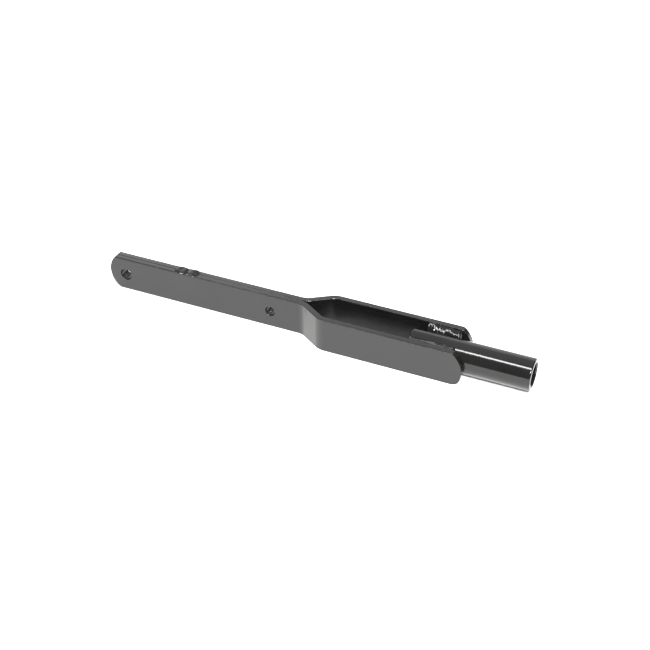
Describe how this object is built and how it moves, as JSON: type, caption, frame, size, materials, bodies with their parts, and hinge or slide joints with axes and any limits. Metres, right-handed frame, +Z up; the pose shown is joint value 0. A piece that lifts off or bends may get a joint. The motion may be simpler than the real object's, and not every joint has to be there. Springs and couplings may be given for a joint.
{
  "type": "gate opener arm",
  "caption": "Rigid welded arm for a gate opener: flat-bar tail with cross holes that splits into a fork, whose tips hold an internally threaded tube for an adjusting rod.",
  "frame": {"origin": "centre of the pivot hole, on the plane where the two bars touch", "axes": "+X along the arm from the pivot hole to the threaded tube, +Y across the arm along the pivot hole's axis, +Z up the height of the bars"},
  "size_m": [0.4747, 0.0476, 0.04],
  "materials": {
    "bar_paint": "semi-gloss black paint over steel",
    "tube_paint": "semi-gloss black paint over steel",
    "weld_paint": "semi-gloss black paint over steel"
  },
  "bodies": {
    "root": {"near_strap": "bar_paint", "far_strap": "bar_paint", "threaded_tube": "tube_paint", "seam_weld_top": "weld_paint", "seam_weld_bottom": "weld_paint", "tube_weld_far_top": "weld_paint", "tube_weld_near_top": "weld_paint", "tube_weld_far_bottom": "weld_paint", "tube_weld_near_bottom": "weld_paint"}
  },
  "joints": []
}
